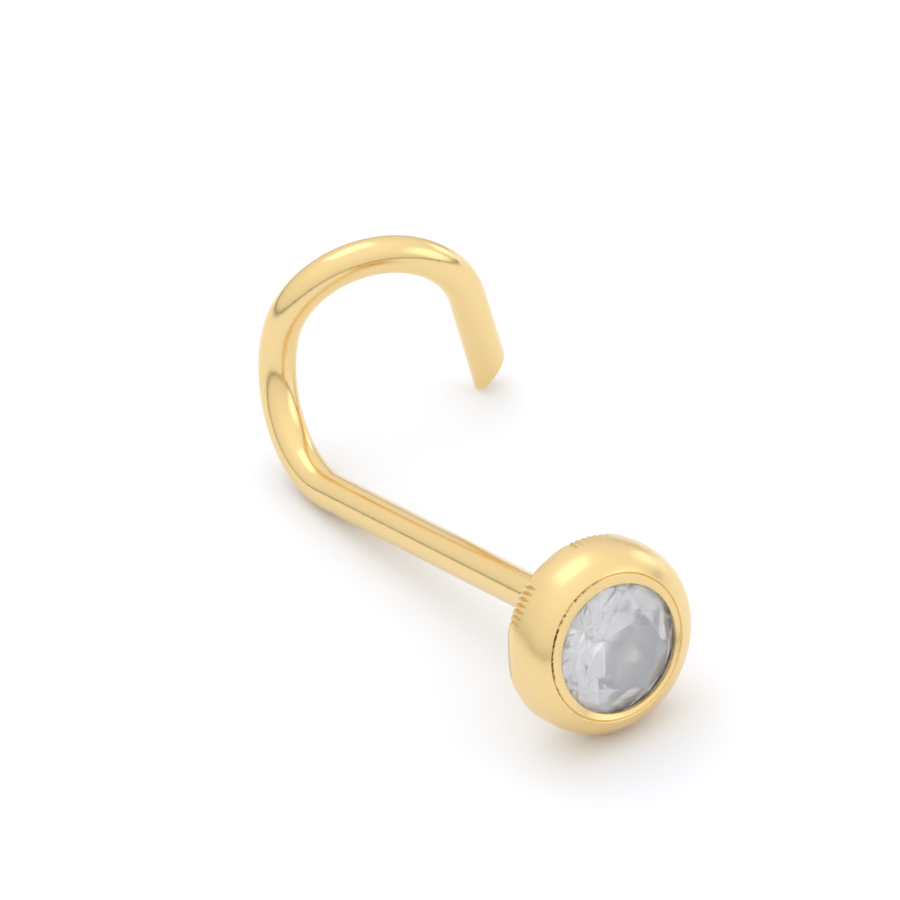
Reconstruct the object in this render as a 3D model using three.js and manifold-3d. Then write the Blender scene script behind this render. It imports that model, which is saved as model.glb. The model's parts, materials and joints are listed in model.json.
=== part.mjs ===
import * as THREE from 'three';
import { mergeVertices } from 'three/addons/utils/BufferGeometryUtils.js';
import { ConvexGeometry } from 'three/addons/geometries/ConvexGeometry.js';
import Module from 'manifold-3d';

// A nose screw: a domed gold bezel with a round brilliant-cut stone, a straight post soldered to
// the bezel's back, and the post's end curled into a hook. Sizes are in millimetres, angles in
// degrees. The stud is built upright, with the stone facing +Z and its visible edge at z = 0.
// It is then laid down on the three points that it rests on: rim, bend and tip.

// Wire of the post and hook
const wireDiameter = 0.66;
const postLength = 7.61;
const postOffset = 0.14;
const weldDepth = 0.12;
const bendRadius = 1.78;
const bendAngle = 113.5;
const bendAxisAt = 32;
const curlRadius = 1.685;
const curlAngle = 154;
const curlTurn = 75;
const tipLength = 2.15;
const tipCutAngle = 42;
const tipCutTurn = 105;

// Stone
const stoneDiameter = 2.4;
const girdleThickness = 0.06;
const crownHeight = 0.3;
const tableShare = 0.6;
const starShare = 0.82;
const pavilionDepth = 0.96;
const lowerHalfShare = 0.3;

// Bezel cup, from the stone's seat outwards
const seatClearance = 0.03;
const lipOverlap = 0.075;
const lipThickness = 0.15;
const lipWidth = 0.155;
const creaseHeight = 0.09;
const creaseWidth = 0.05;
const creaseDepth = 0.035;
const rimWall = 0.515;
const domeHeight = 0.63;
const domeBulge = 0.06;
const sideHeight = 0.4;
const backWall = 0.22;
const backDiameter = 2.3;

// Marks milled on the bezel's back edge: a flat leans in towards the back, a rib is a V groove,
// and the nick is a single round dent
const flatLean = 14;
const ribPitch = 0.115;
const ribDepth = 0.07;
const ribLean = 9;
const ribsInGroup = 7;
const ribGroups = [126.5, 185, 310, 353, 53];
const flats = [
  { at: 155, depth: 0.04 },
  { at: 214, depth: 0.09 },
  { at: 249, depth: 0.055 },
  { at: 288, depth: 0.03 },
  { at: 333, depth: 0.05 },
  { at: 23, depth: 0.06 },
  { at: 90, depth: 0.06 },
];
const nickAt = 268;
const nickDepth = 0.12;
const nickRadius = 0.3;
const nickLean = 18;

// The side that faces up when the stud lies down, as a heading round the stone's axis
const upperSide = 137;

// Facets
const headSegments = 80;
const domeSteps = 7;
const nickSides = 16;
const wireSides = 16;
const wireStep = 0.26;
const settleRounds = 12;

const wireRadius = wireDiameter / 2;
const stoneRadius = stoneDiameter / 2;
const tableRadius = tableShare * stoneRadius;
const crownSlope = crownHeight / (stoneRadius - tableRadius);
const pavilionSlope = pavilionDepth / stoneRadius;
const girdleTop = -lipThickness;
const girdleBottom = girdleTop - girdleThickness;
const seatRadius = stoneRadius + seatClearance;
const seatTop = girdleTop + seatClearance;
const seatShoulder = girdleBottom - seatClearance;
const seatBottom = seatShoulder - seatRadius * pavilionSlope;
const mouthRadius = stoneRadius - lipOverlap;
const creaseRadius = mouthRadius + lipWidth;
const headRadius = stoneRadius + rimWall;
const shoulderZ = creaseHeight - domeHeight;
const edgeZ = shoulderZ - sideHeight;
const backZ = seatBottom - backWall;

const xAxis = new THREE.Vector3(1, 0, 0);
const zAxis = new THREE.Vector3(0, 0, 1);
const toRadians = THREE.MathUtils.degToRad;

const wasm = await Module();
wasm.setup();

function toSolid(geometry) {
  const bare = geometry.clone();
  bare.deleteAttribute('normal');
  bare.deleteAttribute('uv');
  const merged = mergeVertices(bare, 1e-5);
  return new wasm.Manifold(new wasm.Mesh({
    numProp: 3,
    vertProperties: merged.attributes.position.array,
    triVerts: new Uint32Array(merged.index.array),
  }));
}

function toGeometry(solid) {
  const mesh = solid.getMesh();
  const geometry = new THREE.BufferGeometry();
  geometry.setAttribute('position', new THREE.BufferAttribute(mesh.vertProperties, 3));
  geometry.setIndex(new THREE.BufferAttribute(mesh.triVerts, 1));
  return geometry;
}

// A vector square to the stone's axis, at a heading in degrees
function spokeAt(degrees, length = 1) {
  return new THREE.Vector3(length, 0, 0).applyAxisAngle(zAxis, toRadians(degrees));
}

// A round brilliant: table, stars, kites and halves above the girdle, mains and halves below it
function stoneGeometry() {
  const halfFacet = 22.5;
  const lean = Math.cos(toRadians(halfFacet));
  const starRadius = starShare * stoneRadius;
  const lowerRadius = lowerHalfShare * stoneRadius;
  const starZ = girdleTop + crownSlope * (stoneRadius - starRadius * lean);
  const lowerZ = girdleBottom - pavilionSlope * (stoneRadius - lowerRadius * lean);
  const rings = [
    { count: 8, turn: 0, radius: tableRadius, z: girdleTop + crownHeight },
    { count: 8, turn: halfFacet, radius: starRadius, z: starZ },
    { count: 16, turn: 0, radius: stoneRadius, z: girdleTop },
    { count: 16, turn: 0, radius: stoneRadius, z: girdleBottom },
    { count: 8, turn: halfFacet, radius: lowerRadius, z: lowerZ },
  ];
  const corners = [new THREE.Vector3(0, 0, girdleBottom - pavilionDepth)];
  for (const ring of rings) {
    for (let i = 0; i < ring.count; i++) {
      corners.push(spokeAt((360 / ring.count) * i + ring.turn, ring.radius).setZ(ring.z));
    }
  }
  return new ConvexGeometry(corners);
}

// The dome from the shoulder to the crease: a straight slope plus a half sine of bulge
function domePoint(t) {
  const rise = new THREE.Vector2(creaseRadius + creaseWidth - headRadius, domeHeight);
  const outward = new THREE.Vector2(rise.y, -rise.x).normalize();
  return new THREE.Vector2(headRadius, shoulderZ)
    .addScaledVector(rise, t)
    .addScaledVector(outward, domeBulge * Math.sin(Math.PI * t));
}

// The bezel's outline as radius and height, from the back's centre round the rim into the seat
function bezelOutline() {
  const outline = [
    new THREE.Vector2(0, backZ),
    new THREE.Vector2(backDiameter / 2, backZ),
    new THREE.Vector2(headRadius, edgeZ),
  ];
  for (let step = 0; step <= domeSteps; step++) outline.push(domePoint(step / domeSteps));
  outline.push(
    new THREE.Vector2(creaseRadius + creaseWidth / 2, creaseHeight - creaseDepth),
    new THREE.Vector2(creaseRadius, creaseHeight),
    new THREE.Vector2(mouthRadius, 0),
    new THREE.Vector2(mouthRadius, seatTop + crownSlope * lipOverlap),
    new THREE.Vector2(seatRadius, seatTop),
    new THREE.Vector2(seatRadius, seatShoulder),
    new THREE.Vector2(0, seatBottom),
  );
  return outline;
}

// A block whose inner face makes a leaning flat, depth deep at the back edge
function flatCutter({ at, depth }) {
  const block = new THREE.BoxGeometry(headRadius, 2 * headRadius, 2 * headRadius);
  block.translate(headRadius / 2, 0, 0);
  block.rotateY(toRadians(flatLean));
  block.translate(headRadius - depth, 0, edgeZ);
  block.rotateZ(toRadians(at));
  return block;
}

// A square bar, one corner inwards, that cuts a V groove across the back edge
function ribCutter(at, across) {
  const halfWidth = 2 * ribDepth;
  const side = halfWidth * Math.SQRT2;
  const bar = new THREE.BoxGeometry(side, side, 2 * headRadius);
  bar.rotateZ(Math.PI / 4);
  bar.translate(halfWidth, 0, 0);
  bar.rotateY(toRadians(ribLean));
  bar.translate(headRadius - ribDepth, across, edgeZ);
  bar.rotateZ(toRadians(at));
  return bar;
}

// An upright bar that presses the round nick into the back edge, none of it above the shoulder
function nickCutter() {
  const bar = new THREE.CylinderGeometry(nickRadius, nickRadius, 2 * sideHeight, nickSides);
  bar.rotateX(Math.PI / 2);
  bar.rotateY(toRadians(nickLean));
  bar.translate(headRadius - nickDepth + nickRadius, 0, edgeZ);
  bar.rotateZ(toRadians(nickAt));
  return bar;
}

function bezelSolid() {
  const lathe = new THREE.LatheGeometry(bezelOutline(), headSegments);
  lathe.rotateX(Math.PI / 2);
  let solid = toSolid(lathe);
  for (const flat of flats) solid = solid.subtract(toSolid(flatCutter(flat)));
  solid = solid.subtract(toSolid(nickCutter()));
  for (const at of ribGroups) {
    for (let rib = 0; rib < ribsInGroup; rib++) {
      const across = (rib - (ribsInGroup - 1) / 2) * ribPitch;
      solid = solid.subtract(toSolid(ribCutter(at, across)));
    }
  }
  return solid;
}

// The wire's route: a straight post, a bend, a curl in a plane turned from the bend's, and the tip
class WireRoute extends THREE.Curve {
  constructor() {
    super();
    this.pieces = [];
    this.length = 0;
    this.heading = zAxis.clone().negate();
    this.end = spokeAt(90, postOffset).setZ(backZ + weldDepth);
    this.straight(weldDepth + postLength);
    this.bendStart = this.end.clone();
    const bendAxis = spokeAt(bendAxisAt);
    this.arc(bendRadius, bendAngle, bendAxis);
    this.curlAxis = bendAxis.clone().applyAxisAngle(this.heading, toRadians(curlTurn));
    this.arc(curlRadius, curlAngle, this.curlAxis);
    this.straight(tipLength);
  }

  straight(length) {
    const start = this.end.clone();
    const heading = this.heading.clone();
    this.add(length, (along) => start.clone().addScaledVector(heading, along));
  }

  arc(radius, degrees, axis) {
    const spoke = this.heading.clone().cross(axis).multiplyScalar(radius);
    const centre = this.end.clone().sub(spoke);
    const pointAt = (along) => spoke.clone().applyAxisAngle(axis, along / radius).add(centre);
    this.add(radius * toRadians(degrees), pointAt);
    this.heading.applyAxisAngle(axis, toRadians(degrees));
  }

  add(length, pointAt) {
    this.pieces.push({ from: this.length, length, pointAt });
    this.length += length;
    this.end = pointAt(length);
  }

  getPoint(t, target = new THREE.Vector3()) {
    const along = t * this.length;
    const piece = this.pieces.findLast((each) => each.from <= along);
    return target.copy(piece.pointAt(along - piece.from));
  }
}

// A block that leaves the slanted end of the snipped wire
function tipCutter(route) {
  const size = 6 * wireDiameter;
  const side = route.curlAxis.clone().applyAxisAngle(route.heading, toRadians(tipCutTurn));
  const tilt = toRadians(tipCutAngle);
  const along = route.heading.clone().multiplyScalar(Math.cos(tilt));
  const facing = along.addScaledVector(side, Math.sin(tilt));
  const block = new THREE.BoxGeometry(size, size, size);
  block.translate(0, 0, size / 2);
  block.applyQuaternion(new THREE.Quaternion().setFromUnitVectors(zAxis, facing));
  const middle = route.end.clone().addScaledVector(route.heading, -wireRadius * Math.tan(tilt));
  block.translate(middle.x, middle.y, middle.z);
  return block;
}

function wireSolid(route) {
  const section = new THREE.Shape();
  section.absarc(0, 0, wireRadius, 0, 2 * Math.PI);
  const sweep = new THREE.ExtrudeGeometry(section, {
    extrudePath: route,
    steps: Math.round(route.length / wireStep),
    curveSegments: wireSides / 2,
    bevelEnabled: false,
  });
  return toSolid(sweep).subtract(toSolid(tipCutter(route)));
}

function cornersOf(geometry) {
  const position = geometry.attributes.position;
  const corners = [];
  for (let i = 0; i < position.count; i++) {
    corners.push(new THREE.Vector3().fromBufferAttribute(position, i));
  }
  return corners;
}

function lowest(corners, turn) {
  const turned = corners.map((corner) => corner.clone().applyQuaternion(turn));
  return turned.reduce((low, corner) => (corner.z < low.z ? corner : low));
}

// The turn that lays the stud on its rim, bend and tip, with the post along X
function restingTurn(corners, route) {
  const facingUp = spokeAt(upperSide);
  const across = facingUp.clone().cross(zAxis);
  const basis = new THREE.Matrix4().makeBasis(zAxis, across, facingUp).transpose();
  const turn = new THREE.Quaternion().setFromRotationMatrix(basis);
  const rim = corners.filter((corner) => corner.z > backZ);
  const bend = corners.filter((corner) => corner.distanceTo(route.bendStart) < bendRadius);
  const tip = corners.filter((corner) => corner.distanceTo(route.end) < wireDiameter);
  for (let round = 0; round < settleRounds; round++) {
    const [rimFoot, bendFoot, tipFoot] = [rim, bend, tip].map((group) => lowest(group, turn));
    const normal = rimFoot.sub(bendFoot).cross(tipFoot.sub(bendFoot)).normalize();
    if (normal.z < 0) normal.negate();
    turn.premultiply(new THREE.Quaternion().setFromUnitVectors(normal, zAxis));
  }
  const axis = zAxis.clone().applyQuaternion(turn).setZ(0).normalize();
  return turn.premultiply(new THREE.Quaternion().setFromUnitVectors(axis, xAxis));
}

function named(name, geometry, color, roughness, metalness) {
  const material = new THREE.MeshStandardMaterial({ color, roughness, metalness });
  const mesh = new THREE.Mesh(geometry, material);
  mesh.name = name;
  return mesh;
}

const route = new WireRoute();
const metal = toGeometry(bezelSolid().add(wireSolid(route)));

const stud = new THREE.Group();
stud.add(named('stud_metal', metal, 0xe6bf73, 0.22, 1));
stud.add(named('stone', stoneGeometry(), 0xdcdce6, 0.05, 0));
stud.quaternion.copy(restingTurn(cornersOf(metal), route));

// The resting stud stands on z = 0 with the middle of its box over the origin
const box = new THREE.Box3().setFromObject(stud, true);
const middle = box.getCenter(new THREE.Vector3());
stud.position.set(-middle.x, -middle.y, -box.min.z);

const noseStud = new THREE.Group();
noseStud.add(stud);

export default noseStud;
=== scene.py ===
import json
import math

import bmesh
import bpy
from mathutils import Matrix, Vector


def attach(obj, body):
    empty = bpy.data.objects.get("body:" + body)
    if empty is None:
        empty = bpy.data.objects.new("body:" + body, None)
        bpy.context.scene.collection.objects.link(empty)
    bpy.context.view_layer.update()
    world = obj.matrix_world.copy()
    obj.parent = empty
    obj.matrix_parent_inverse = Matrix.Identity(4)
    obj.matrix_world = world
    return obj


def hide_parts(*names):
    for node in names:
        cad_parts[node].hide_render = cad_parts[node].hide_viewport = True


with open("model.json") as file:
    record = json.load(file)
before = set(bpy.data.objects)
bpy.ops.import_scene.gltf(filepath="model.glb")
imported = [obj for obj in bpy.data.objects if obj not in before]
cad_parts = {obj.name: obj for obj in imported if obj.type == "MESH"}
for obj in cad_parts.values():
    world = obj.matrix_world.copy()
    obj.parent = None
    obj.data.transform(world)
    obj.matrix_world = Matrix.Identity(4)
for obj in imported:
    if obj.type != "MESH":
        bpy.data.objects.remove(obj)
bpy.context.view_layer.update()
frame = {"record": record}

# The stud is modelled upright in millimetres, the stone facing +Z with its visible edge at z = 0,
# and each finished piece is then shrunk to metres and laid where the frame has it.
MM = 0.001

# Wire of the post and hook
WIRE_RADIUS = 0.33
POST_LENGTH = 7.61
POST_OFFSET = 0.14
BEND_RADIUS = 1.78
BEND_ANGLE = 113.5
BEND_AXIS_AT = 32
CURL_RADIUS = 1.685
CURL_ANGLE = 154
CURL_TURN = 75
TIP_LENGTH = 2.15
TIP_CUT_ANGLE = 42
TIP_CUT_TURN = 105
TIP_EDGE = 0.03
SOLDER_REACH = 0.12
SOLDER_DEPTH = 0.05
SOLDER_STEPS = 8
WIRE_SIDES = 64
BEND_STEPS = 48
CURL_STEPS = 64

# Bezel cup and its seat. Its rim was rubbed down by hand, so its rings are a little off centre.
HEAD_SIDES = 240
HEAD_RADIUS = 1.715
EDGE_Z = -0.94
WALL_TOP_Z = -0.8
DOME_RISE = 0.44
DOME_TURN_RADIUS = 1.6
DOME_TURN_Z = -0.13
CREASE_RADIUS = 1.28
CREASE_WIDTH = 0.045
CREASE_DEPTH = 0.028
CREASE_Z = 0.06
MOUTH_RADIUS = 1.14
BACK_Z = -1.444
BACK_RADIUS = 1.15
BACK_FACE_RADIUS = 0.9 * BACK_RADIUS
EDGE_ROUNDING = 0.05
LIP_UNDER_Z = -0.073
SEAT_RADIUS = 1.23
SEAT_TOP = -0.12
SEAT_SHOULDER = -0.24
SEAT_BOTTOM = -1.224
SEAT_BOTTOM_RADIUS = 0.02

CENTRED = Vector((0, 0))
RIM_CENTRE = Vector((0.045, 0.049))
MOUTH_CENTRE = Vector((0.015, -0.01))
CREASE_CENTRE = Vector((-0.08, 0))

# Marks on the back edge: flats, a nick and groups of milled ribs, each at a heading
FLAT_LEAN = 14
FLATS = [
    {"at": 155, "depth": 0.04},
    {"at": 214, "depth": 0.08},
    {"at": 244, "depth": 0.02},
    {"at": 288, "depth": 0.03},
    {"at": 333, "depth": 0.05},
    {"at": 23, "depth": 0.06},
    {"at": 90, "depth": 0.06},
]
NICK_AT = 268
NICK_DEPTH = 0.12
NICK_RADIUS = 0.3
NICK_LEAN = 18
NICK_LENGTH = 0.8
RIB_GROUPS = [126.5, 185, 310, 353, 53]
RIBS_IN_GROUP = 7
RIB_PITCH = 0.115
RIB_DEPTH = 0.07
RIB_LEAN = 11
RIB_LENGTH = 2

# Stone
HALF_FACET = 22.5
STONE_RADIUS = 1.2
GIRDLE_TOP = -0.15
GIRDLE_BOTTOM = -0.21
CROWN_HEIGHT = 0.3
TABLE_RADIUS = 0.72
STAR_RADIUS = 0.984
PAVILION_DEPTH = 0.96
LOWER_RADIUS = 0.36
CULET_RADIUS = 0.01

# How the stud lies: the heading round the stone's axis that faces up, and a point on the flat
# back of the cup that the frame's mount gives
UPPER_SIDE = 137.374
BACK_POINT = Vector((0.75, 0, BACK_Z))

# Camera: its direction from the stud, and where in the picture the stone's centre is
CAMERA_AZIMUTH = 59.65
CAMERA_ELEVATION = 35.42
CAMERA_ROLL = 8.3
CAMERA_LENS = 1000
SENSOR = 36
IMAGE_PX = 900
PX_PER_MM = 59.4
STONE_PX = (618.7, 648.1)

# Gold's colour, and the shade painted into the crease on one side: its dark colour, the heading of
# that side, and how far out towards it the painted shade starts and is full
GOLD = "#EED195"
CREASE_SHADE = "#6B4A1A"
CREASE_SHADE_HEADING = 190
CREASE_SHADE_REACH = (0.75, 1.3)

# Light tent: brightness by the sine of the height above the horizon
TENT_LEVELS = [(0.0, 0.15), (0.05, 0.25), (0.085, 0.9), (0.4, 1.0), (1.0, 1.18)]

# A brighter panel in the tent, to the right of the camera: its direction, edges and brightness
PANEL_HEADING = 45
PANEL_HEIGHT = 20
PANEL_EDGES = (25, 12)
PANEL_LEVEL = 1.6

# Table and softboxes, in metres, for a stud that lies at the origin
TABLE_SIZE = 0.6
SOFTBOXES = [
    {"name": "top_softbox", "place": (-0.048, 0.008, 0.10), "size": 0.07, "watts": 0.0105},
    {"name": "low_softbox", "place": (-0.012, 0.108, 0.018), "size": 0.05, "watts": 0.006},
]

# Edges of the metal sharper than this, in degrees, are shaded crisp
CRISP_ANGLE = 32


def heading(degrees, length=1.0, z=0.0):
    """A point at a heading round the stone's axis."""
    angle = math.radians(degrees)
    return Vector((length * math.cos(angle), length * math.sin(angle), z))


def resting_place():
    """The matrix that takes a piece from upright millimetres to where the stud lies, in metres."""
    mount = frame["record"]["mounts"][0]
    axis = -Vector(mount["axis"]).normalized()
    tilt = math.asin(axis.z)
    facing = Vector((0, 0, 1))
    upward = heading(UPPER_SIDE)
    level = Matrix((facing, upward.cross(facing), upward))
    turn = Matrix.Rotation(-tilt, 3, "Y") @ level
    shift = Vector(mount["pos_m"]) - (turn @ BACK_POINT) * MM
    return Matrix.Translation(shift) @ (turn.to_4x4() @ Matrix.Scale(MM, 4))


REST = resting_place()
STONE_CENTRE = REST @ Vector((0, 0, 0))


def clear_selection():
    bpy.ops.object.select_all(action="DESELECT")


def pick_pieces(pieces):
    """Selects the pieces and no others, with the first of them active."""
    clear_selection()
    for piece in pieces:
        piece.select_set(True)
    bpy.context.view_layer.objects.active = pieces[0]


def edit(piece):
    pick_pieces([piece])
    bpy.ops.object.mode_set(mode="EDIT")
    bpy.ops.mesh.select_mode(type="FACE")


def done_editing():
    bpy.ops.object.mode_set(mode="OBJECT")


def pick_faces(piece, test):
    """Selects the faces whose centre and normal pass the test, and no others."""
    mesh = bmesh.from_edit_mesh(piece.data)
    bpy.ops.mesh.select_all(action="DESELECT")
    for face in mesh.faces:
        if test(face.calc_center_median(), face.normal):
            face.select_set(True)
    mesh.select_flush_mode()
    bmesh.update_edit_mesh(piece.data)


def name_piece(name):
    piece = bpy.context.object
    piece.name = name
    piece.data.name = name
    return piece


def lay_down(piece):
    """Leaves the piece's object at the origin, with its place in its mesh."""
    pick_pieces([piece])
    piece.matrix_world = REST @ piece.matrix_world
    bpy.ops.object.transform_apply(location=True, rotation=True, scale=True)


def apply_boolean(piece, cutter):
    pick_pieces([piece])
    cut = piece.modifiers.new("cut", "BOOLEAN")
    cut.operation = "DIFFERENCE"
    cut.object = cutter
    cut.solver = "EXACT"
    cut.use_self = True
    bpy.ops.object.modifier_apply(modifier=cut.name)
    bpy.data.objects.remove(cutter)


def ring(radius, height, centre=CENTRED):
    """A ring of the bezel: its radius, its height and where its centre is."""
    return Vector((radius, height, centre.x, centre.y))


def rounded(corners, steps=5):
    """The rings through the corners, a ring and its rounding each, turned by arc-like curves."""
    outline = []
    for i, (here, soft) in enumerate(corners):
        if not soft:
            outline.append(here)
            continue
        before = corners[i - 1][0]
        after = corners[i + 1][0]
        start = here + (before - here).normalized() * soft
        end = here + (after - here).normalized() * soft
        for step in range(steps + 1):
            t = step / steps
            outline.append(start.lerp(here, t).lerp(here.lerp(end, t), t))
    return outline


def dome_rings(steps=28):
    """The dome from the upright wall to the crease, on one smooth curve."""
    wall = ring(HEAD_RADIUS, WALL_TOP_Z, RIM_CENTRE)
    rise = ring(HEAD_RADIUS, WALL_TOP_Z + DOME_RISE, RIM_CENTRE)
    turn = ring(DOME_TURN_RADIUS, DOME_TURN_Z, (RIM_CENTRE + CREASE_CENTRE) / 2)
    crease = ring(CREASE_RADIUS + CREASE_WIDTH, CREASE_Z, CREASE_CENTRE)
    rings = []
    for step in range(steps):
        t = step / steps
        low = wall.lerp(rise, t).lerp(rise.lerp(turn, t), t)
        high = rise.lerp(turn, t).lerp(turn.lerp(crease, t), t)
        rings.append((low.lerp(high, t), 0))
    return rings


def bezel_corners():
    """The bezel's rings from its back round the rim and into the seat, with their rounding."""
    return [
        (ring(BACK_FACE_RADIUS, BACK_Z), 0),
        (ring(BACK_RADIUS, BACK_Z), EDGE_ROUNDING),
        (ring(HEAD_RADIUS, EDGE_Z, RIM_CENTRE), EDGE_ROUNDING),
        *dome_rings(),
        (ring(CREASE_RADIUS + CREASE_WIDTH, CREASE_Z, CREASE_CENTRE), 0.02),
        (ring(CREASE_RADIUS + CREASE_WIDTH / 2, CREASE_Z - CREASE_DEPTH, CREASE_CENTRE), 0),
        (ring(CREASE_RADIUS, CREASE_Z, CREASE_CENTRE), 0.015),
        (ring(MOUTH_RADIUS, 0, MOUTH_CENTRE), 0.02),
        (ring(MOUTH_RADIUS, LIP_UNDER_Z, MOUTH_CENTRE), 0),
        (ring(SEAT_RADIUS, SEAT_TOP), 0),
        (ring(SEAT_RADIUS, SEAT_SHOULDER), 0),
        (ring(SEAT_BOTTOM_RADIUS, SEAT_BOTTOM), 0),
    ]


def model_bezel():
    """Grows the cup ring by ring from its flat back, then cuts its flats, ribs and nick."""
    clear_selection()
    bpy.ops.mesh.primitive_circle_add(
        vertices=HEAD_SIDES,
        radius=BACK_FACE_RADIUS,
        fill_type="NGON",
    )
    bezel = name_piece("bezel_cup")
    bezel.location.z = BACK_Z
    bpy.ops.object.transform_apply(location=True)
    edit(bezel)
    bpy.ops.mesh.select_all(action="SELECT")
    rings = rounded(bezel_corners())
    for last, here in zip(rings, rings[1:]):
        share = here[0] / last[0]
        middle = (here[2], here[3], here[1])
        move = (here[2] - last[2], here[3] - last[3], here[1] - last[1])
        bpy.ops.mesh.extrude_region_move(TRANSFORM_OT_translate={"value": move})
        bpy.ops.transform.resize(value=(share, share, 1), center_override=middle)
    bpy.ops.mesh.select_all(action="SELECT")
    bpy.ops.mesh.normals_make_consistent(inside=False)
    for flat in FLATS:
        outward = heading(flat["at"]) * math.cos(math.radians(FLAT_LEAN))
        outward.z = -math.sin(math.radians(FLAT_LEAN))
        middle = heading(flat["at"], HEAD_RADIUS - flat["depth"], EDGE_Z)
        bpy.ops.mesh.select_all(action="SELECT")
        bpy.ops.mesh.bisect(
            plane_co=RIM_CENTRE.to_3d() + middle,
            plane_no=outward,
            use_fill=True,
            clear_outer=True,
        )
    done_editing()
    apply_boolean(bezel, rib_cutters())
    apply_boolean(bezel, nick_cutter())
    return bezel


def in_seat(spot, normal):
    """Whether a face is one of the seat's, below the lip."""
    return spot.xy.length < SEAT_RADIUS + 0.01 and BACK_Z + 0.1 < spot.z < LIP_UNDER_Z


def in_crease(spot, normal):
    """Whether a face is on one of the crease's two walls."""
    reach = (spot.xy - CREASE_CENTRE).length - CREASE_RADIUS
    return 0.001 < reach < CREASE_WIDTH - 0.001 and spot.z > CREASE_Z - 2 * CREASE_DEPTH


def give_finish(piece, material, test):
    """Gives the faces that pass the test a finish of their own."""
    piece.data.materials.append(material)
    edit(piece)
    pick_faces(piece, test)
    piece.active_material_index = len(piece.data.materials) - 1
    bpy.ops.object.material_slot_assign()
    done_editing()


def rib_cutters():
    """One object with a square bar, corner inwards, for each V groove."""
    half_width = 2 * RIB_DEPTH
    side = half_width * math.sqrt(2)
    upright = Matrix.Diagonal((side, side, RIB_LENGTH, 1))
    square = Matrix.Rotation(math.radians(45), 4, "Z") @ upright
    bars = []
    for at in RIB_GROUPS:
        for rib in range(RIBS_IN_GROUP):
            turn = at + math.degrees((rib - (RIBS_IN_GROUP - 1) / 2) * RIB_PITCH / HEAD_RADIUS)
            clear_selection()
            bpy.ops.mesh.primitive_cube_add(size=1)
            bar = bpy.context.object
            bar.matrix_world = (
                Matrix.Translation(RIM_CENTRE.to_3d())
                @ Matrix.Rotation(math.radians(turn), 4, "Z")
                @ Matrix.Translation((HEAD_RADIUS - RIB_DEPTH, 0, EDGE_Z))
                @ Matrix.Rotation(math.radians(RIB_LEAN), 4, "Y")
                @ Matrix.Translation((half_width, 0, 0))
                @ square
            )
            bars.append(bar)
    pick_pieces(bars)
    bpy.ops.object.join()
    bpy.ops.object.transform_apply(location=True, rotation=True, scale=True)
    return bpy.context.object


def nick_cutter():
    """The upright bar that presses the round nick into the back edge."""
    clear_selection()
    bpy.ops.mesh.primitive_cylinder_add(vertices=64, radius=NICK_RADIUS, depth=NICK_LENGTH)
    bar = bpy.context.object
    bar.matrix_world = (
        Matrix.Translation(RIM_CENTRE.to_3d())
        @ Matrix.Rotation(math.radians(NICK_AT), 4, "Z")
        @ Matrix.Translation((HEAD_RADIUS - NICK_DEPTH + NICK_RADIUS, 0, EDGE_Z))
        @ Matrix.Rotation(math.radians(NICK_LEAN), 4, "Y")
    )
    bpy.ops.object.transform_apply(location=True, rotation=True, scale=True)
    return bar


def spin_wire(end, way, radius, degrees, axis, steps):
    """Bends the selected end face round an axis, and gives the new end and way."""
    centre = end + axis.cross(way) * radius
    turn = Matrix.Rotation(math.radians(degrees), 3, axis)
    bpy.ops.mesh.spin(steps=steps, angle=-math.radians(degrees), center=centre, axis=axis)
    return centre + turn @ (end - centre), turn @ way


def model_wire():
    """Draws the wire from its solder joint: post, bend, curl and slanted tip."""
    way = Vector((0, 0, -1))
    end = heading(90, POST_OFFSET, BACK_Z + SOLDER_DEPTH)
    reach = WIRE_RADIUS + SOLDER_REACH
    clear_selection()
    bpy.ops.mesh.primitive_circle_add(vertices=WIRE_SIDES, radius=reach, fill_type="NGON")
    wire = name_piece("post_and_hook")
    wire.location = end
    bpy.ops.object.transform_apply(location=True)
    edit(wire)
    bpy.ops.mesh.select_all(action="SELECT")
    for step in range(SOLDER_STEPS + 1):
        angle = math.pi / 2 * step / SOLDER_STEPS
        radius = WIRE_RADIUS + SOLDER_REACH * (1 - math.sin(angle))
        depth = BACK_Z - SOLDER_REACH * (1 - math.cos(angle))
        bpy.ops.mesh.extrude_region_move(TRANSFORM_OT_translate={"value": (0, 0, depth - end.z)})
        share = radius / reach
        end.z = depth
        bpy.ops.transform.resize(value=(share, share, 1), center_override=end)
        reach = radius
    straight = POST_LENGTH - SOLDER_REACH
    bpy.ops.mesh.extrude_region_move(TRANSFORM_OT_translate={"value": way * straight})
    end += way * straight
    bend_axis = heading(BEND_AXIS_AT)
    end, way = spin_wire(end, way, BEND_RADIUS, BEND_ANGLE, bend_axis, BEND_STEPS)
    curl_axis = Matrix.Rotation(math.radians(CURL_TURN), 3, way) @ bend_axis
    end, way = spin_wire(end, way, CURL_RADIUS, CURL_ANGLE, curl_axis, CURL_STEPS)
    bpy.ops.mesh.extrude_region_move(TRANSFORM_OT_translate={"value": way * TIP_LENGTH})
    curl_end = end.copy()
    end += way * TIP_LENGTH
    cut_tip(wire, curl_end, end, way, curl_axis)
    bpy.ops.mesh.select_all(action="SELECT")
    bpy.ops.mesh.normals_make_consistent(inside=False)
    done_editing()
    return wire


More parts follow.
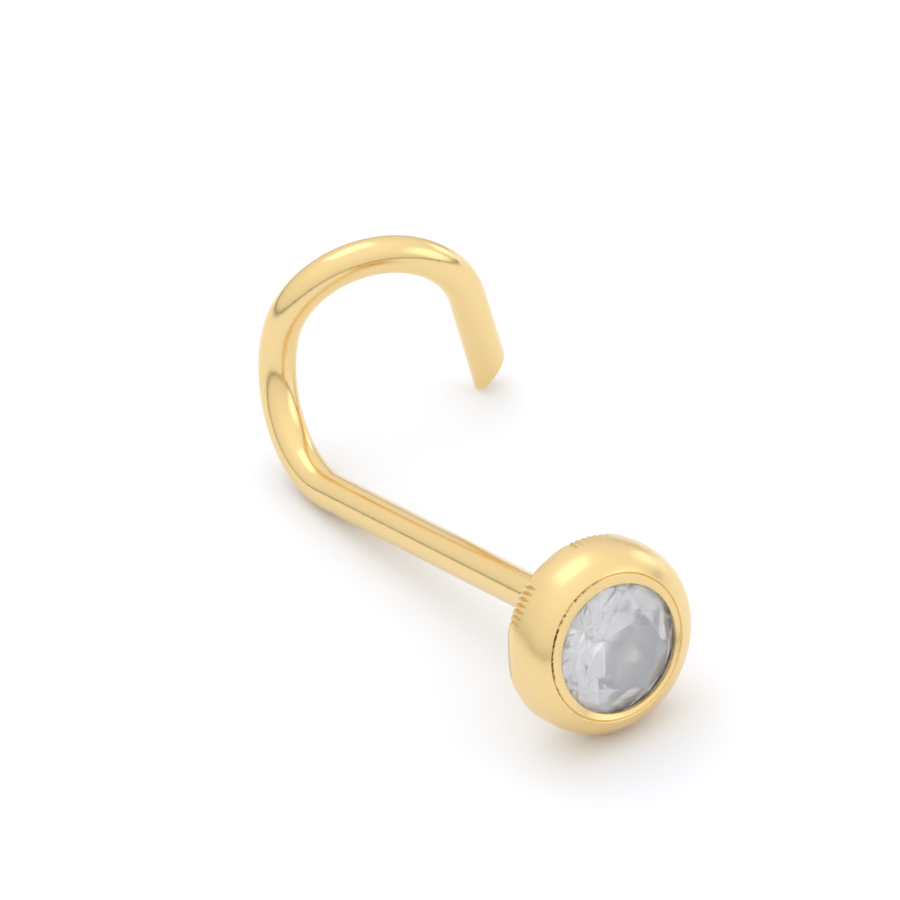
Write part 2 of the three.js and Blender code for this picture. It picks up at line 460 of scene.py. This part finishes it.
def cut_tip(wire, curl_end, end, way, curl_axis):
    """Snips the wire's end on a slant and rounds the cut's edge."""
    near = 0.7 * TIP_LENGTH

    def past_curl(spot, normal):
        return (spot - curl_end).dot(way) > 0 and (spot - end).length < near

    def on_cut(spot, normal):
        return (spot - end).length < 2 * WIRE_RADIUS and abs(normal.dot(facing)) > 0.99

    pick_faces(wire, past_curl)
    side = Matrix.Rotation(math.radians(TIP_CUT_TURN), 3, way) @ curl_axis
    slant = math.radians(TIP_CUT_ANGLE)
    facing = way * math.cos(slant) + side * math.sin(slant)
    bpy.ops.mesh.bisect(
        plane_co=end - way * (WIRE_RADIUS * math.tan(slant)),
        plane_no=facing,
        use_fill=True,
        clear_outer=True,
    )
    pick_faces(wire, on_cut)
    bpy.ops.mesh.region_to_loop()
    bpy.ops.mesh.bevel(offset=TIP_EDGE, segments=4)


def model_stone():
    """Sets out the corners of a round brilliant in rings and wraps them in facets."""
    lean = math.cos(math.radians(HALF_FACET))
    crown_slope = CROWN_HEIGHT / (STONE_RADIUS - TABLE_RADIUS)
    pavilion_slope = PAVILION_DEPTH / STONE_RADIUS
    star_z = GIRDLE_TOP + crown_slope * (STONE_RADIUS - STAR_RADIUS * lean)
    lower_z = GIRDLE_BOTTOM - pavilion_slope * (STONE_RADIUS - LOWER_RADIUS * lean)
    tiers = [
        {"count": 8, "turn": 0, "radius": TABLE_RADIUS, "z": GIRDLE_TOP + CROWN_HEIGHT},
        {"count": 8, "turn": HALF_FACET, "radius": STAR_RADIUS, "z": star_z},
        {"count": 16, "turn": 0, "radius": STONE_RADIUS, "z": GIRDLE_TOP},
        {"count": 16, "turn": 0, "radius": STONE_RADIUS, "z": GIRDLE_BOTTOM},
        {"count": 8, "turn": HALF_FACET, "radius": LOWER_RADIUS, "z": lower_z},
        {"count": 3, "turn": 0, "radius": CULET_RADIUS, "z": GIRDLE_BOTTOM - PAVILION_DEPTH},
    ]
    clear_selection()
    bpy.ops.mesh.primitive_circle_add(vertices=8, radius=TABLE_RADIUS)
    stone = name_piece("brilliant")
    bpy.ops.object.mode_set(mode="EDIT")
    bpy.ops.mesh.select_all(action="SELECT")
    bpy.ops.mesh.delete(type="VERT")
    for tier in tiers:
        bpy.ops.mesh.primitive_circle_add(
            vertices=tier["count"],
            radius=tier["radius"],
            location=(0, 0, tier["z"]),
            rotation=(0, 0, math.radians(tier["turn"] - 90)),
        )
    bpy.ops.mesh.select_all(action="SELECT")
    bpy.ops.mesh.convex_hull()
    bpy.ops.mesh.dissolve_limited(angle_limit=math.radians(0.5))
    bpy.ops.mesh.normals_make_consistent(inside=False)
    done_editing()
    return stone


def add_node(tree, kind, links=None, **settings):
    """Adds a node, sets its properties and its sockets' values, and links its inputs."""
    node = tree.nodes.new(kind)
    for name, value in settings.items():
        if name in node.inputs:
            node.inputs[name].default_value = value
        else:
            setattr(node, name, value)
    for name, source in (links or {}).items():
        tree.links.new(source, node.inputs[name])
    return node


def add_noise(tree, place, size, detail):
    """Noise whose spots are about the given size, in metres."""
    return add_node(tree, "ShaderNodeTexNoise", {"Vector": place}, Scale=1 / size, Detail=detail)


def linear(code):
    """Turns an sRGB hex value to the linear colour that a shader takes."""
    channels = [int(code[i:i + 2], 16) / 255 for i in (1, 3, 5)]
    return [c / 12.92 if c <= 0.04045 else ((c + 0.055) / 1.055) ** 2.4 for c in channels] + [1.0]


def new_material(name):
    material = bpy.data.materials.new(name)
    material.use_nodes = True
    tree = material.node_tree
    tree.nodes.clear()
    return material, tree


def yellow_gold(name, smoothest, roughest):
    """Yellow gold with a soft shine: a slightly rough mirror with faint clouds and grain."""
    material, tree = new_material(name)
    place = add_node(tree, "ShaderNodeTexCoord").outputs["Object"]
    grain = add_noise(tree, place, 0.05 * MM, 4.0)
    cloud = add_noise(tree, place, 0.9 * MM, 3.0)
    rough = add_node(tree, "ShaderNodeMapRange", {"Value": cloud.outputs["Fac"]})
    rough.inputs["To Min"].default_value = smoothest
    rough.inputs["To Max"].default_value = roughest
    bump = add_node(tree, "ShaderNodeBump", {"Height": grain.outputs["Fac"]}, Strength=0.12)
    bump.inputs["Distance"].default_value = 0.01 * MM
    shader = add_node(
        tree,
        "ShaderNodeBsdfPrincipled",
        {"Roughness": rough.outputs["Result"], "Normal": bump.outputs["Normal"]},
        Metallic=1.0,
    )
    shader.inputs["Base Color"].default_value = linear(GOLD)
    add_node(tree, "ShaderNodeOutputMaterial", {"Surface": shader.outputs["BSDF"]})
    return material


def painted_crease_shade():
    """Gold in the crease, with painted shade: dark spots on its left side, where the groove lies
    in shade.
    """
    material, tree = new_material("gold_with_painted_crease_shade")
    place = add_node(tree, "ShaderNodeTexCoord").outputs["Object"]
    left = REST.to_3x3().normalized() @ heading(CREASE_SHADE_HEADING)
    across = add_node(tree, "ShaderNodeVectorMath", {0: place}, operation="DOT_PRODUCT")
    across.inputs[1].default_value = left
    fade = add_node(tree, "ShaderNodeMapRange", {"Value": across.outputs["Value"]})
    fade.inputs["From Min"].default_value = left.dot(STONE_CENTRE) + CREASE_SHADE_REACH[0] * MM
    fade.inputs["From Max"].default_value = left.dot(STONE_CENTRE) + CREASE_SHADE_REACH[1] * MM
    shade_spots = add_noise(tree, place, 0.07 * MM, 2.0)
    patch = add_node(tree, "ShaderNodeMapRange", {"Value": shade_spots.outputs["Fac"]})
    patch.inputs["From Min"].default_value = 0.4
    patch.inputs["From Max"].default_value = 0.55
    # How much shade is painted into the crease: full on its left side and broken into spots
    painted_shade = add_node(
        tree,
        "ShaderNodeMath",
        {0: fade.outputs["Result"], 1: patch.outputs["Result"]},
        operation="MULTIPLY",
    )
    tint = add_node(tree, "ShaderNodeValToRGB", {"Fac": painted_shade.outputs["Value"]})
    tint.color_ramp.elements[0].color = linear(GOLD)
    tint.color_ramp.elements[1].color = linear(CREASE_SHADE)
    shader = add_node(
        tree,
        "ShaderNodeBsdfPrincipled",
        {"Base Color": tint.outputs["Color"]},
        Metallic=1.0,
        Roughness=0.35,
    )
    add_node(tree, "ShaderNodeOutputMaterial", {"Surface": shader.outputs["BSDF"]})
    return material


def bright_foil():
    """Silvery foil in the seat behind the stone: a satin mirror that sends its light back."""
    material, tree = new_material("silver_seat_foil")
    shader = add_node(tree, "ShaderNodeBsdfPrincipled", Metallic=1.0, Roughness=0.25)
    shader.inputs["Base Color"].default_value = linear("#FBFBFD")
    add_node(tree, "ShaderNodeOutputMaterial", {"Surface": shader.outputs["BSDF"]})
    return material


def cloudy_stone():
    """Cut stone with a milky cloud: polished facets over a pale, slightly lavender body."""
    material, tree = new_material("cloudy_cut_stone")
    place = add_node(tree, "ShaderNodeTexCoord").outputs["Object"]
    veils = add_noise(tree, place, 0.35 * MM, 6.0)
    tint = add_node(tree, "ShaderNodeValToRGB", {"Fac": veils.outputs["Fac"]})
    tint.color_ramp.elements[0].position = 0.35
    tint.color_ramp.elements[0].color = linear("#F3F3F8")
    tint.color_ramp.elements[1].position = 0.65
    tint.color_ramp.elements[1].color = linear("#FDFDFF")
    shader = add_node(
        tree,
        "ShaderNodeBsdfPrincipled",
        {"Base Color": tint.outputs["Color"]},
        Roughness=0.02,
        IOR=1.9,
    )
    shader.inputs["Transmission Weight"].default_value = 0.74
    add_node(tree, "ShaderNodeOutputMaterial", {"Surface": shader.outputs["BSDF"]})
    return material


def smooth(piece, degrees):
    """Shades the piece smooth, with the edges sharper than the angle left crisp."""
    pick_pieces([piece])
    bpy.ops.object.shade_smooth_by_angle(angle=math.radians(degrees))


def add_camera():
    """A camera with so long a lens that its view is nearly parallel, as in the photo."""
    azimuth = math.radians(CAMERA_AZIMUTH)
    elevation = math.radians(CAMERA_ELEVATION)
    roll = math.radians(CAMERA_ROLL)
    back = Vector((
        math.sin(azimuth) * math.cos(elevation),
        -math.cos(azimuth) * math.cos(elevation),
        math.sin(elevation),
    ))
    level_right = Vector((math.cos(azimuth), math.sin(azimuth), 0))
    level_up = back.cross(level_right)
    right = level_right * math.cos(roll) - level_up * math.sin(roll)
    up = level_up * math.cos(roll) + level_right * math.sin(roll)
    off_right = (IMAGE_PX / 2 - STONE_PX[0]) / PX_PER_MM * MM
    off_up = (STONE_PX[1] - IMAGE_PX / 2) / PX_PER_MM * MM
    target = STONE_CENTRE + right * off_right + up * off_up
    distance = IMAGE_PX / PX_PER_MM * MM * CAMERA_LENS / SENSOR
    camera = bpy.data.objects.new("camera", bpy.data.cameras.new("camera"))
    bpy.context.collection.objects.link(camera)
    camera.data.lens = CAMERA_LENS
    camera.data.sensor_width = SENSOR
    camera.data.clip_start = 0.001
    camera.data.clip_end = 10
    turn = Matrix((right, up, back)).transposed()
    camera.matrix_world = Matrix.Translation(target + back * distance) @ turn.to_4x4()
    bpy.context.scene.camera = camera


def add_light(name, place, size, watts):
    """A square softbox that faces the stud."""
    light = bpy.data.lights.new(name, "AREA")
    light.shape = "SQUARE"
    light.size = size
    light.energy = watts
    lamp = bpy.data.objects.new(name, light)
    bpy.context.collection.objects.link(lamp)
    lamp.location = place
    lamp.rotation_euler = (-Vector(place)).to_track_quat("-Z", "Y").to_euler()


def add_studio():
    """The white table, the light tent and two small softboxes."""
    clear_selection()
    bpy.ops.mesh.primitive_plane_add(size=TABLE_SIZE)
    floor = name_piece("floor")
    material, tree = new_material("white_table")
    shader = add_node(tree, "ShaderNodeBsdfPrincipled", Roughness=0.6)
    shader.inputs["Base Color"].default_value = linear("#F6F8FD")
    add_node(tree, "ShaderNodeOutputMaterial", {"Surface": shader.outputs["BSDF"]})
    floor.data.materials.append(material)
    world = bpy.data.worlds.new("studio")
    bpy.context.scene.world = world
    world.use_nodes = True
    light_tent(world.node_tree)
    for box in SOFTBOXES:
        add_light(box["name"], box["place"], box["size"], box["watts"])
    bpy.context.scene.view_settings.view_transform = "Standard"


def light_tent(tree):
    """White light from all round, dimmer near the table where the tent's open edge is."""
    tree.nodes.clear()
    way = add_node(tree, "ShaderNodeTexCoord").outputs["Generated"]
    height = add_node(tree, "ShaderNodeSeparateXYZ", {"Vector": way}).outputs["Z"]
    ramp = add_node(tree, "ShaderNodeValToRGB", {"Fac": height})
    stops = ramp.color_ramp.elements
    while len(stops) < len(TENT_LEVELS):
        stops.new(0.5)
    for stop, (position, level) in zip(stops, TENT_LEVELS):
        stop.position = position
        stop.color = (level, level, level, 1)
    rise = math.radians(PANEL_HEIGHT)
    near_panel = add_node(tree, "ShaderNodeVectorMath", {0: way}, operation="DOT_PRODUCT")
    near_panel.inputs[1].default_value = heading(PANEL_HEADING, math.cos(rise), math.sin(rise))
    level = add_node(tree, "ShaderNodeMapRange", {"Value": near_panel.outputs["Value"]})
    level.inputs["From Min"].default_value = math.cos(math.radians(PANEL_EDGES[0]))
    level.inputs["From Max"].default_value = math.cos(math.radians(PANEL_EDGES[1]))
    level.inputs["To Min"].default_value = 1.0
    level.inputs["To Max"].default_value = PANEL_LEVEL
    lamp = add_node(
        tree,
        "ShaderNodeBackground",
        {"Color": ramp.outputs["Color"], "Strength": level.outputs["Result"]},
    )
    add_node(tree, "ShaderNodeOutputWorld", {"Surface": lamp.outputs["Background"]})


bezel = model_bezel()
wire = model_wire()
brilliant = model_stone()
bezel.data.materials.append(yellow_gold("satin_yellow_gold", 0.22, 0.32))
wire.data.materials.append(yellow_gold("drawn_yellow_gold_wire", 0.13, 0.2))
for piece in (bezel, wire):
    smooth(piece, CRISP_ANGLE)
    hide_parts("stud_metal")
give_finish(bezel, bright_foil(), in_seat)
# The crease's walls get gold with shade painted dark into their left side
give_finish(bezel, painted_crease_shade(), in_crease)
brilliant.data.materials.append(cloudy_stone())
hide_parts("stone")
for piece in (bezel, wire, brilliant):
    lay_down(piece)
    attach(piece, "root")

add_camera()
add_studio()
